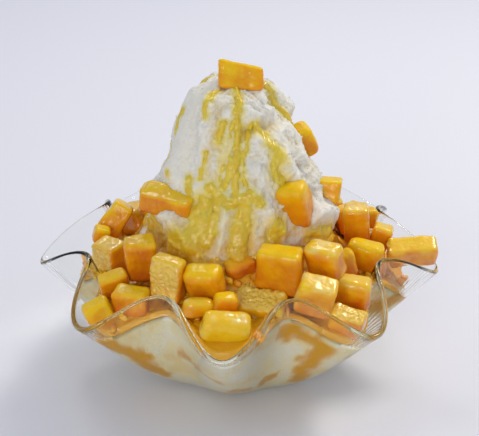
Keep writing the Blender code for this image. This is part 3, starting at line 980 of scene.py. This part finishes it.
@dataclass
class IceHeap:
    """The shaved ice from the floor of the bowl to the top of the tower, with its sauce."""

    wall: FlutedWall
    columns: int = 480
    wall_rows: int = 26
    shoulder_rows: int = 26
    tower_rows: int = 146
    reach_into_glass: float = 0.35
    outline: tuple = (
        (54.5, 51.5), (49.0, 57.0), (44.5, 66.5), (41.5, 77.5), (38.5, 88.5), (35.0, 98.5), (32.0, 108.0),
        (29.5, 116.5), (27.0, 124.5), (25.0, 132.0), (22.0, 138.5), (14.0, 142.5), (0.0, 143.2),
    )  # fmt: skip
    tip_fill: tuple = (0.93, 0.84, 0.78, 0.80, 0.86, 0.80, 0.72, 0.86)
    crest_fill: float = 0.90
    shoulder_curve: float = 0.8
    lumps: tuple = ((3, 1.1, 0.4), (5, 0.9, 2.1), (7, 0.8, 4.0), (11, 0.5, 1.3))
    syrup_level: float = 68.0
    fold_height: float = 2.3
    strand_height: float = 0.9
    crumb_height: float = 0.6
    torn_sink: float = 0.6
    ice: ShavedIce = field(default_factory=ShavedIce)
    sauce: MangoSauce = field(default_factory=MangoSauce)

    def fill(self, angle: np.ndarray) -> np.ndarray:
        """How far up the glass the ice reaches, as a share of the way from foot to lip."""
        turn = np.degrees(angle - self.wall.start) / (360 / self.wall.flutes) % self.wall.flutes
        nearest = np.round(turn).astype(int) % self.wall.flutes
        tip = np.array(self.tip_fill)[nearest]
        crest_share = (1 - np.cos(self.wall.phase(angle))) / 2
        return tip + (self.crest_fill - tip) * crest_share

    def wobble(self, angle: np.ndarray, height: np.ndarray) -> np.ndarray:
        """How far the heap stands out from its plain outline."""
        total = sum(out * np.sin(count * angle + start + height / 9) for count, out, start in self.lumps)
        for swell in TOWER_SWELLS:
            turn = turn_from(np.degrees(angle), swell.azimuth)
            total = total + swell.out * bell(turn, swell.wide) * bell(height - swell.height, swell.tall)
        return total

    def tower_profile(self) -> np.ndarray:
        """Radius and height up the tower, as a smooth line through the outline's points."""
        knots = np.array(self.outline)
        before = np.vstack([2 * knots[0] - knots[1], knots, 2 * knots[-1] - knots[-2]])
        share = np.linspace(0, len(knots) - 1, self.tower_rows)
        span = np.minimum(share.astype(int), len(knots) - 2)
        t = (share - span)[:, None]
        p0, p1, p2, p3 = (before[span + step] for step in range(4))
        curve = 2 * p1 + (p2 - p0) * t
        curve = curve + (2 * p0 - 5 * p1 + 4 * p2 - p3) * t**2 + (3 * p1 - p0 - 3 * p2 + p3) * t**3
        smooth = curve / 2
        travel = np.concatenate([[0], np.cumsum(np.linalg.norm(np.diff(smooth, axis=0), axis=1))])
        even = np.linspace(0, travel[-1], self.tower_rows)
        return np.stack([np.interp(even, travel, smooth[:, axis]) for axis in (0, 1)], axis=1)

    def plain_rings(self, angle: np.ndarray) -> list[np.ndarray]:
        """Rings of points up the glass, over the shoulder and up the tower, before the relief.

        Args:
            angle: The angle of each column.

        Returns:
            One ring of points a row.
        """
        wall = self.wall
        depth = wall.thickness - self.reach_into_glass
        fill = self.fill(angle)
        rings = []
        for share in np.linspace(0, 1, self.wall_rows):
            ring = wall.inset(angle, fill * share, depth)
            ring[:, 2] = np.maximum(ring[:, 2], depth)
            rings.append(ring)
        edge = rings[-1]
        edge_radius = np.hypot(edge[:, 0], edge[:, 1])
        foot_radius, foot_height = self.outline[0]
        for share in np.linspace(0, 1, self.shoulder_rows + 2)[1:-1]:
            radius = edge_radius + (foot_radius - edge_radius) * share
            lift = math.sin(share * math.pi / 2) ** self.shoulder_curve
            height = edge[:, 2] + (foot_height - edge[:, 2]) * lift
            fade = min(1.0, max(0.0, (4 * share - 1) / 3))
            rings.append(self.ring(angle, radius + fade * self.wobble(angle, height), height))
        for radius, height in self.tower_profile()[:-1]:
            heights = np.full(len(angle), height)
            fade = min(1.0, radius / 20)
            rings.append(self.ring(angle, radius + fade * self.wobble(angle, heights), heights))
        return rings

    def ring(self, angle: np.ndarray, radius: np.ndarray, height: np.ndarray) -> np.ndarray:
        """A ring of points from angles, radii and heights."""
        return np.stack([radius * np.sin(angle), -radius * np.cos(angle), height], axis=-1)

    def calm(self, canvas: Canvas) -> np.ndarray:
        """Where the heap is torn (1) and where a hand has smoothed it (near 0)."""
        side = turn_from(canvas.azimuth, CALM_AZIMUTH)
        return 1 - 0.85 * bell(side, CALM_WIDTH) * smooth_step(canvas.points[:, 2], 94, 106)

    def relief(self, canvas: Canvas) -> np.ndarray:
        """How far the folds, strands and grain stand out at each point, in millimetres."""
        points = canvas.points
        warp = np.stack([layered_noise(points, 15, 2, seed) for seed in (3, 7, 11)], axis=-1)
        bent = points + 7 * warp
        folds = ridged_noise(bent * np.array([1.0, 1.0, 1.4]), 12, 4, 21) - 0.5
        strands = ridged_noise(bent * np.array([0.8, 0.8, 2.2]), 3.6, 3, 5) - 0.5
        crumbs = layered_noise(bent, 3.6, 3, 44)
        grain = layered_noise(points, 1.3, 2, 60)
        torn = self.calm(canvas)
        rough = self.fold_height * folds + self.strand_height * strands + self.crumb_height * crumbs
        level = torn * (rough - self.torn_sink) + (0.1 + 0.12 * torn) * grain
        for fold in FOLDS:
            level = level + canvas.crest(fold)
        return level

    def sauce_depth(self, canvas: Canvas) -> np.ndarray:
        """Thickness of the sauce at each point, in millimetres, and 0 or less where there is none."""
        points = canvas.points
        ragged = 1.3 * layered_noise(points, 3.6, 3, 71)
        depth = np.full(len(points), -1.0)
        for run in SAUCE_RUNS:
            inside = canvas.reach(run, ragged)
            rounded = 1.5 * run.amount * np.clip(inside, 0, 1) ** 0.6 - 0.12 + 0.4 * np.minimum(inside, 0)
            depth = np.maximum(depth, rounded)
        depth = np.where(depth > 0, depth + 0.5 * depth * layered_noise(points, 2.4, 2, 77), depth)
        patchy = layered_noise(points, 9, 3, 75)
        pooled = (self.syrup_level - points[:, 2]) / 8 + 1.6 * patchy
        pooled = np.where(np.abs(canvas.azimuth) < 80, pooled + 0.5, pooled)
        nub = canvas.reach(Stroke(((-51, 56),), 6.5, 1.0))
        pooled = np.where(nub > 0, -1.0, pooled)
        ring = np.clip(pooled, -1, 1.5) * 1.7
        lumps = 0.5 * ridged_noise(points, 4.5, 3, 79)
        ring = np.where(ring > 0, ring + lumps * np.clip(ring, 0, 1), ring)
        return np.maximum(depth, ring)

    def stain(self, canvas: Canvas, sauce: np.ndarray) -> np.ndarray:
        """How much sauce has soaked into the ice at each point, from 0 to 1."""
        ragged = 2.2 * layered_noise(canvas.points, 6, 4, 81)
        low = smooth_step(-canvas.points[:, 2], -66, -50)
        ragged += low * 3.4 * layered_noise(canvas.points, 11, 4, 87)
        streaks = layered_noise(canvas.points * np.array([1.0, 1.0, 0.22]), 3.0, 3, 85)
        runny = 0.62 + 0.55 * smooth_step(streaks, -0.35, 0.35)
        runny = np.where(canvas.points[:, 2] > 76, runny, 1.0)
        soaked = np.zeros(len(canvas.points))
        for mark in STAINS:
            inside = canvas.reach(mark, ragged)
            soaked = np.maximum(soaked, runny * mark.amount * smooth_step(inside, -0.3, 0.7))
        tinge = 0.3 + 0.5 * layered_noise(canvas.points, 13, 3, 83) + 0.2 * streaks
        soaked = np.maximum(soaked, np.clip(tinge, 0.1, 0.55) * low)
        return np.clip(np.maximum(soaked, smooth_step(sauce, -0.9, 0.1)), 0, 1)

    def build_ice(self, points: np.ndarray, rows: int, notes: dict) -> bpy.types.Object:
        """Make the heap and let it stand for the packed ice.

        Args:
            points: The surface, row by row.
            rows: How many rows it has.
            notes: Numbers a point for the material, by name.

        Returns:
            The heap.
        """
        count = len(points)
        floor_height = self.wall.thickness - self.reach_into_glass
        ends = np.array([[0.0, 0.0, floor_height], [0.0, 0.0, self.outline[-1][1]]])
        faces = ring_faces(rows, self.columns).tolist()
        last = count - self.columns
        for column in range(self.columns):
            beside = (column + 1) % self.columns
            faces.append([beside, column, count])
            faces.append([last + column, last + beside, count + 1])
        heap = make_piece("shaved_ice_heap", np.vstack([points, ends]), faces)
        for name, values in notes.items():
            store(heap.data, name, np.concatenate([values, [0, 0]]))
        heap.data.materials.append(self.ice.build())
        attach(heap, "root")
        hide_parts("shaved_ice")
        return heap

    def build_sauce(
        self, points: np.ndarray, normals: np.ndarray, rows: int, depth: np.ndarray
    ) -> bpy.types.Object:
        """Lay the sauce on the heap as a thin closed skin that dips into the ice at its edge.

        Args:
            points: The ice surface, row by row.
            normals: Its outward directions.
            rows: How many rows it has.
            depth: The sauce's thickness.

        Returns:
            The sauce.
        """
        faces = ring_faces(rows, self.columns)
        faces = faces[np.all(faces >= self.wall_rows * self.columns, axis=1)]
        faces = faces[depth[faces].max(axis=1) > 0]
        used, faces = np.unique(faces, return_inverse=True)
        faces = faces.reshape(-1, 4)
        height = np.maximum(depth[used], -0.3)
        sauce = make_piece("mango_sauce", points[used] + normals[used] * height[:, None], faces)
        store(sauce.data, "pooled", smooth_step(depth[used], 0.0, 0.6))
        store(sauce.data, "low", smooth_step(-points[used, 2], -84, -62))
        skin = sauce.modifiers.new("skin", "SOLIDIFY")
        skin.thickness = 0.5 * MM
        skin.offset = -1.0
        sauce.data.materials.append(self.sauce.build())
        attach(sauce, "root")
        return sauce

    def build(self) -> tuple[bpy.types.Object, bpy.types.Object]:
        """Make the ice and the sauce on it."""
        angle = np.arange(self.columns) * FULL_TURN / self.columns
        rings = np.stack(self.plain_rings(angle))
        rows = rings.shape[0]
        canvas = Canvas(rings.reshape(-1, 3))
        row = np.repeat(np.arange(rows), self.columns)
        free = smooth_step(row, self.wall_rows, self.wall_rows + 8)
        out = self.relief(canvas) * free
        sauce = np.where(row > self.wall_rows, self.sauce_depth(canvas), -1.0)
        smooth_out = out * (1 - 0.5 * np.clip(2 * sauce, 0, 1)) - 0.2 * np.clip(sauce, 0, 1) * (out > 0)
        normals = grid_normals(rings).reshape(-1, 3)
        points = canvas.points + normals * smooth_out[:, None]
        stain = self.stain(canvas, sauce)
        low_down = smooth_step(-points[:, 2], -100, -56)
        notes = {
            "stain": stain,
            "warmth": np.where(row > self.wall_rows, low_down, smooth_step(stain, 0.4, 0.8)),
            # Painted shade: the hollows of the relief, stored for the ice to darken to cream.
            "hollow": smooth_step(-out, -0.2, 2.4),
        }
        heap = self.build_ice(points, rows, notes)
        surface = grid_normals(points.reshape(rows, self.columns, 3)).reshape(-1, 3)
        return heap, self.build_sauce(points, surface, rows, sauce)


@dataclass
class IceFlakes:
    """Loose flakes that the shaver left lying on the heap."""

    count: int = 1700
    smallest: float = 0.7
    largest: float = 2.3
    corners: int = 6
    seed: int = 8
    ice: ShavedIce = ShavedIce(form="loose flakes", depth_mm=0.5, white="F8F5EC")

    def build(self, heap: bpy.types.Object) -> bpy.types.Object:
        """Scatter the flakes over the white parts of the heap as one mesh.

        Args:
            heap: The finished heap, with its stain.

        Returns:
            The flakes.
        """
        chance = np.random.default_rng(self.seed)
        points = vertices_of(heap.data)
        normals = normals_of(heap.data)
        stain = np.empty(len(points), np.float32)
        heap.data.attributes["stain"].data.foreach_get("value", stain)
        smoothed = bell(turn_from(azimuth_of(points), CALM_AZIMUTH), CALM_WIDTH) * (points[:, 2] > 98)
        weight = np.clip(1 - 1.6 * stain, 0, 1) * (points[:, 2] > 56) * (1 - 0.9 * smoothed)
        drifts = smooth_step(layered_noise(points, 10, 2, 90), -0.1, 0.4)
        weight *= np.hypot(points[:, 0], points[:, 1]) * (0.3 + drifts)
        chosen = chance.choice(len(points), self.count, p=weight / weight.sum())
        up = normals[chosen] + 0.55 * chance.normal(size=(self.count, 3))
        up /= np.linalg.norm(up, axis=1, keepdims=True)
        side = np.cross(up, chance.normal(size=(self.count, 3)))
        side /= np.linalg.norm(side, axis=1, keepdims=True)
        ahead = np.cross(up, side)
        length = chance.uniform(self.smallest, self.largest, self.count)[:, None] / 2
        width = length * chance.uniform(0.35, 0.8, (self.count, 1))
        turn = np.arange(self.corners) * FULL_TURN / self.corners
        rim_x = np.cos(turn) * length * chance.uniform(0.7, 1.15, (self.count, self.corners))
        rim_y = np.sin(turn) * width * chance.uniform(0.7, 1.15, (self.count, self.corners))
        droop = -0.35 * rim_x**2 / length
        rim = rim_x[..., None] * side[:, None] + rim_y[..., None] * ahead[:, None]
        rim = rim + droop[..., None] * up[:, None]
        caps = np.stack([0.16 * up, -0.3 * up], axis=1)
        flakes = np.concatenate([rim, caps], axis=1) + (points[chosen] + 0.05 * normals[chosen])[:, None]
        each = self.corners + 2
        beside = (np.arange(self.corners) + 1) % self.corners
        here = np.arange(self.corners)
        top = np.stack([here, beside, np.full(self.corners, self.corners)], axis=1)
        bottom = np.stack([beside, here, np.full(self.corners, self.corners + 1)], axis=1)
        faces = np.concatenate([top, bottom])[None] + np.arange(self.count)[:, None, None] * each
        piece = make_piece("ice_flakes", flakes.reshape(-1, 3), faces.reshape(-1, 3), smooth=False)
        piece.data.materials.append(self.ice.build())
        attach(piece, "root")
        return piece


# ---------------------------------------------------------------------------
# Mango
# ---------------------------------------------------------------------------


@dataclass(frozen=True)
class Look:
    """How one mango piece is finished.

    It has a cut, the direction that its special face looks, how much fuller than its packed
    block the piece is along X, Y and Z in millimetres a side, and how far its colour is moved
    along the ramp towards deep orange. That shift is partly the piece's own tone and partly
    painted light and shade.
    """

    cut: Cut = Cut.SMOOTH
    toward: tuple = (0.0, -1.0, 0.0)
    fuller: tuple = (0.7, 0.6, 0.6)
    tone_and_shade: float = 0.0


# Pieces behind the heap that aren't listed take turns with BACK_CUTS.
# The last number of each look moves a piece along the ramp of painted light and shade.
LOOKS = {
    "mango_back_tower_2": Look(Cut.SMOOTH, (0, 1, 0), (-1.6, 0.4, 0.0), 0.05),
    "mango_crown": Look(Cut.SMOOTH, (0, -1, 0), (1.0, 0.4, 0.1), 0.02),
    "mango_shoulder": Look(Cut.SMOOTH, (0, -1, 0), (0.4, 0.4, 0.5), -0.05),
    "mango_flank": Look(Cut.SMOOTH, (0, -1, 0), (0.4, 0.6, 0.7), 0.1),
    "mango_flank_behind": Look(Cut.SMOOTH, (0, 0, 1), (0.6, 0.4, 0.0), 0.0),
    "mango_block": Look(Cut.FIBROUS, (0, -1, 0), (0.8, 0.5, 0.0), 0.16),
    "mango_left_leaning": Look(Cut.SMOOTH, (0, -1, 0), (0.3, 0.4, 0.4), 0.08),
    "mango_left_pulpy": Look(Cut.PULPY, (-0.8, -0.6, 0.0), (0.8, 0.8, 0.6), 0.15),
    "mango_left_fibrous": Look(Cut.FIBROUS, (0, -1, 0), (0.6, 0.8, 1.0), 0.22),
    "mango_left_low": Look(Cut.SMOOTH, (0, -1, 0), (0.6, 0.8, 0.4), 0.1),
    "mango_left_front": Look(Cut.FIBROUS, (0, -1, 0), (0.8, 0.8, 0.8), 0.15),
    "mango_left_tip": Look(Cut.SMOOTH, (0, -1, 0), (0.6, 0.5, 0.6), -0.1),
    "mango_tall_pulpy": Look(Cut.PULPY, (-0.5, -0.85, 0.0), (0.9, 0.8, 1.0), -0.02),
    "mango_round_front": Look(Cut.SMOOTH, (0, -1, 0), (1.4, 1.0, 1.8), 0.1),
    # Painted shade: this piece is moved far towards deep orange.
    "mango_recessed": Look(Cut.SMOOTH, (0, -1, 0), (1.6, 1.0, 0.6), 0.4),
    "mango_large_front": Look(Cut.SMOOTH, (0, -1, 0), (0.8, 0.9, 1.6), 0.12),
    "mango_slim_front": Look(Cut.GLAZED, (0.0, -0.3, 1.0), (1.7, 0.8, 0.6), 0.0),
    "mango_small_front": Look(Cut.SMOOTH, (0, -1, 0), (1.2, 0.8, 1.0), 0.15),
    # Painted light: this piece is moved towards the lit yellow end of the ramp.
    "mango_wet_top": Look(Cut.PULPY, (0.0, -0.3, 1.0), (1.7, 1.2, 1.0), -0.45),
    # Painted light: this piece is moved towards the lit yellow end, and its glazed top is a painted
    # highlight.
    "mango_front_tip": Look(Cut.GLAZED, (0.0, 0.1, 1.0), (1.2, 1.2, 1.4), -0.5),
    # Its pale glaze toward the upper left is a painted highlight.
    "mango_right_shiny": Look(Cut.GLAZED, (-0.5, -0.5, 0.8), (1.0, 0.8, 0.7), 0.04),
    "mango_right_glazed": Look(Cut.GLAZED, (0.0, -0.4, 0.9), (0.7, 0.8, 0.7), 0.0),
    "mango_right_smooth": Look(Cut.SMOOTH, (0, -1, 0), (1.1, 0.8, 0.7), 0.02),
    "mango_right_lower": Look(Cut.PULPY, (-0.9, -0.2, 0.3), (1.6, 0.9, 1.2), 0.06),
    "mango_right_pulpy": Look(Cut.PULPY, (0.0, -0.7, 0.7), (0.8, 0.8, 0.7), 0.05),
    # Its pale glaze on top is a painted highlight.
    "mango_right_upright": Look(Cut.GLAZED, (0, 0, 1), (0.8, 0.6, 0.6), 0.12),
    "mango_right_long": Look(Cut.PULPY, (-0.9, -0.4, 0.1), (1.2, 0.8, 0.7), 0.0),
}
BACK_CUTS = (Cut.SMOOTH, Cut.PULPY, Cut.GLAZED, Cut.SMOOTH, Cut.FIBROUS)


@dataclass
class MangoDice:
    """The cut mango pieces, each given worn edges and the marks of its cut."""

    voxel: float = 0.52
    wave_height: float = 0.75
    chip_height: float = 0.14
    pulp_height: float = 1.3
    fibre_height: float = 0.25
    flesh: dict = field(default_factory=lambda: {cut: MangoFlesh(cut).build() for cut in Cut})

    def softened(self, node: bpy.types.Object, name: str) -> bpy.types.Object:
        """A fine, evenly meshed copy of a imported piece.

        Args:
            node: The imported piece.
            name: Name of the copy.

        Returns:
            The copy, with its mesh applied.
        """
        draft = bpy.data.objects.new(name, node.data.copy())
        bpy.context.scene.collection.objects.link(draft)
        remesh = draft.modifiers.new("even mesh", "REMESH")
        remesh.mode = "VOXEL"
        remesh.voxel_size = self.voxel * MM
        rounding = draft.modifiers.new("worn edges", "SMOOTH")
        rounding.factor = 0.5
        rounding.iterations = 1
        view = draft.evaluated_get(bpy.context.evaluated_depsgraph_get())
        mesh = bpy.data.meshes.new_from_object(view)
        mesh.name = name
        bpy.data.objects.remove(draft, do_unlink=True)
        mesh.materials.clear()
        mesh.shade_smooth()
        piece = bpy.data.objects.new(name, mesh)
        bpy.context.scene.collection.objects.link(piece)
        return piece

    def look_of(self, name: str, seed: int) -> Look:
        """The look of a piece. Those behind the heap take turns with the cuts."""
        if name in LOOKS:
            return LOOKS[name]
        turn = seed * 2.4
        toward = (math.sin(turn), math.cos(turn), 0.6)
        return Look(BACK_CUTS[seed % len(BACK_CUTS)], toward, tone_and_shade=0.05 * (seed % 3))

    def dress(self, piece: bpy.types.Object, look: Look, seed: int) -> None:
        """Give a piece its surface and store what its material reads.

        Args:
            piece: The softened piece.
            look: How it is finished.
            seed: Picks its own noise.
        """
        mesh = piece.data
        points = vertices_of(mesh)
        normals = normals_of(mesh)
        toward = np.array(look.toward, float)
        facing = smooth_step(normals @ (toward / np.linalg.norm(toward)), 0.5, 0.85)
        fuller = points + normals * np.array(look.fuller)
        waves = layered_noise(points + seed * 13.7, 11, 2, seed)
        chips = layered_noise(points, 2.4, 2, seed + 5)
        out = self.wave_height * waves + self.chip_height * chips
        pulp = facing if look.cut is Cut.PULPY else np.zeros(len(points))
        out += pulp * (self.pulp_height * ridged_noise(points, 2.8, 3, seed + 9) - self.pulp_height / 2)
        if look.cut is Cut.FIBROUS:
            streaks = layered_noise(points * np.array([1.0, 1.0, 0.2]), 1.4, 2, seed + 15)
            out += facing * self.fibre_height * streaks
        move_vertices(mesh, fuller + normals * out[:, None])
        # Painted light and shade: a piece goes deeper orange towards its bottom and lighter yellow on
        # faces that look up; the noise is the flesh's own patchy tone.
        low, high = points[:, 2].min(), points[:, 2].max()
        down = 1 - (points[:, 2] - low) / (high - low)
        shade = 0.14 + look.tone_and_shade + 0.5 * down - 0.42 * np.clip(normals[:, 2], 0, 1)
        shade += 0.3 * layered_noise(points, 9, 3, seed + 30)
        store(mesh, "shade", np.clip(shade, 0, 1))
        store(mesh, "pulp", np.clip(pulp, 0, 1))
        # Glazed pieces go pale cream on the face they turn toward: on mango_slim_front and
        # mango_right_glazed a real syrup glaze, on mango_right_shiny, mango_front_tip and
        # mango_right_upright a painted highlight.
        film = layered_noise(points, 5, 3, seed + 50)
        glaze_and_sheen = facing * smooth_step(film, -0.25, 0.35) * 0.6 if look.cut is Cut.GLAZED else 0 * film
        store(mesh, "glaze_and_sheen", glaze_and_sheen)

    def build(self) -> list[bpy.types.Object]:
        """Make every piece and let it stand for its packed block."""
        pieces = []
        names = sorted(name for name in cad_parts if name.startswith("mango_"))
        for seed, name in enumerate(names):
            look = self.look_of(name, seed)
            piece = self.softened(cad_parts[name], f"{name}_flesh")
            self.dress(piece, look, seed)
            piece.data.materials.append(self.flesh[look.cut])
            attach(piece, "root")
            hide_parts(name)
            pieces.append(piece)
        return pieces


@dataclass
class MangoBits:
    """Crumbs of pulp that came off the pieces and lie in the syrup between them."""

    count: int = 150
    smallest: float = 2.2
    largest: float = 6.4
    seed: int = 21

    def build(self, sauce: bpy.types.Object, flesh: bpy.types.Material) -> bpy.types.Object:
        """Scatter the crumbs over the low parts of the sauce as one mesh.

        Args:
            sauce: The finished sauce.
            flesh: The material of torn flesh.

        Returns:
            The crumbs.
        """
        chance = np.random.default_rng(self.seed)
        points = vertices_of(sauce.data)
        radius = np.hypot(points[:, 0], points[:, 1])
        weight = (points[:, 2] < 68) * radius * (radius < 82)
        chosen = chance.choice(len(points), self.count, p=weight / weight.sum())
        ball = bmesh.new()
        bmesh.ops.create_icosphere(ball, subdivisions=2, radius=1.0)
        unit = np.array([vertex.co for vertex in ball.verts])
        corners = np.array([[vertex.index for vertex in face.verts] for face in ball.faces])
        ball.free()
        shapes = []
        for place, spot in enumerate(points[chosen]):
            size = chance.uniform(self.smallest, self.largest, 3) / 2
            size[2] = min(size[2], 1.5)
            heading = Matrix.Rotation(chance.uniform(0, math.pi), 3, "Z")
            spin = heading @ Matrix.Rotation(chance.normal() * 0.5, 3, "X")
            boxy = np.sign(unit) * np.abs(unit) ** 0.7
            rough = 1 + 0.25 * layered_noise(unit * 3 + place * 5.1, 3.4, 2, 33)[:, None]
            shapes.append(boxy * size * rough @ np.array(spin).T + spot + (0, 0, 0.35))
        faces = corners[None] + np.arange(self.count)[:, None, None] * len(unit)
        crumbs = make_piece("mango_crumbs", np.concatenate(shapes), faces.reshape(-1, 3))
        total = self.count * len(unit)
        store(crumbs.data, "shade", np.repeat(chance.uniform(0.05, 0.6, self.count), len(unit)))
        store(crumbs.data, "pulp", np.full(total, 0.3))
        crumbs.data.materials.append(flesh)
        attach(crumbs, "root")
        return crumbs


# ---------------------------------------------------------------------------
# Studio
# ---------------------------------------------------------------------------


@dataclass(frozen=True)
class Softbox:
    """A square studio light: where it hangs, how wide it is and how strong, in metres and watts."""

    name: str
    place: tuple
    width: float
    watts: float
    color: str

    def build(self, target: Vector) -> None:
        """Hang the light and aim it."""
        data = bpy.data.lights.new(self.name, "AREA")
        data.shape = "SQUARE"
        data.size = self.width
        data.energy = self.watts
        data.color = linear(self.color)[:3]
        lamp = bpy.data.objects.new(self.name, data)
        lamp.location = self.place
        lamp.rotation_euler = (target - lamp.location).to_track_quat("-Z", "Y").to_euler()
        bpy.context.scene.collection.objects.link(lamp)


@dataclass
class Studio:
    """Pale paper floor, soft lights and the camera."""

    floor_width: float = 9.0
    lens: float = 135.28
    camera_place: tuple = (0.0011, -0.7659, 0.4349)
    camera_target: tuple = (0.001055, 0.0, 0.07359)
    camera_roll: float = -0.6
    world_color: str = "E8EEFA"
    world_strength: float = 0.54
    light_target: tuple = (0.0, 0.0, 0.06)
    lights: tuple = (
        Softbox("key softbox", (0.46, 0.34, 0.74), 0.24, 3.5, "FFF8EE"),
        Softbox("back softbox", (-0.1, 0.6, 0.75), 0.22, 1.0, "FFFFFF"),
        Softbox("front fill", (-0.35, -1.0, 0.42), 0.35, 3.0, "FFFBF4"),
    )

    def build_floor(self) -> None:
        """Lay the paper at the height of the bowl's foot."""
        half = self.floor_width / 2 / MM
        corners = np.array([[-half, -half, 0], [half, -half, 0], [half, half, 0], [-half, half, 0]], float)
        floor = make_piece("paper_floor", corners, [[0, 1, 2, 3]], smooth=False)
        floor.data.materials.append(StudioPaper().build())

    def build_camera(self) -> None:
        """Set the camera at the viewing angle."""
        data = bpy.data.cameras.new("camera")
        data.lens = self.lens
        data.sensor_width = 36.0
        data.clip_end = 50.0
        camera = bpy.data.objects.new("camera", data)
        camera.location = self.camera_place
        gaze = (Vector(self.camera_target) - camera.location).to_track_quat("-Z", "Y").to_matrix()
        roll = Matrix.Rotation(math.radians(self.camera_roll), 3, "Z")
        camera.rotation_euler = (gaze @ roll).to_euler()
        bpy.context.scene.collection.objects.link(camera)
        bpy.context.scene.camera = camera

    def build_world(self) -> None:
        """Surround the set with an even pale glow."""
        world = bpy.data.worlds.new("studio")
        bpy.context.scene.world = world
        world.use_nodes = True
        background = world.node_tree.nodes["Background"]
        background.inputs["Color"].default_value = linear(self.world_color)
        background.inputs["Strength"].default_value = self.world_strength

    def build(self) -> None:
        """Set up the whole studio."""
        self.build_floor()
        self.build_world()
        self.build_camera()
        for light in self.lights:
            light.build(Vector(self.light_target))
        bpy.context.scene.view_settings.view_transform = "Standard"


def main() -> None:
    """Build the dessert piece by piece, and then the studio."""
    wall = FlutedWall(tip_radius=bowl_tip_radius())
    bowl = GlassBowl(wall).build()
    log.info("%s: %d faces", bowl.name, len(bowl.data.polygons))
    heap, sauce = IceHeap(wall).build()
    dice = MangoDice()
    pieces = [heap, sauce, IceFlakes().build(heap), MangoBits().build(sauce, dice.flesh[Cut.PULPY])]
    for piece in pieces + dice.build():
        log.info("%s: %d faces", piece.name, len(piece.data.polygons))
    Studio().build()


if __name__ == "__main__":
    logging.basicConfig(level=logging.INFO, format="%(name)s: %(message)s")
    main()
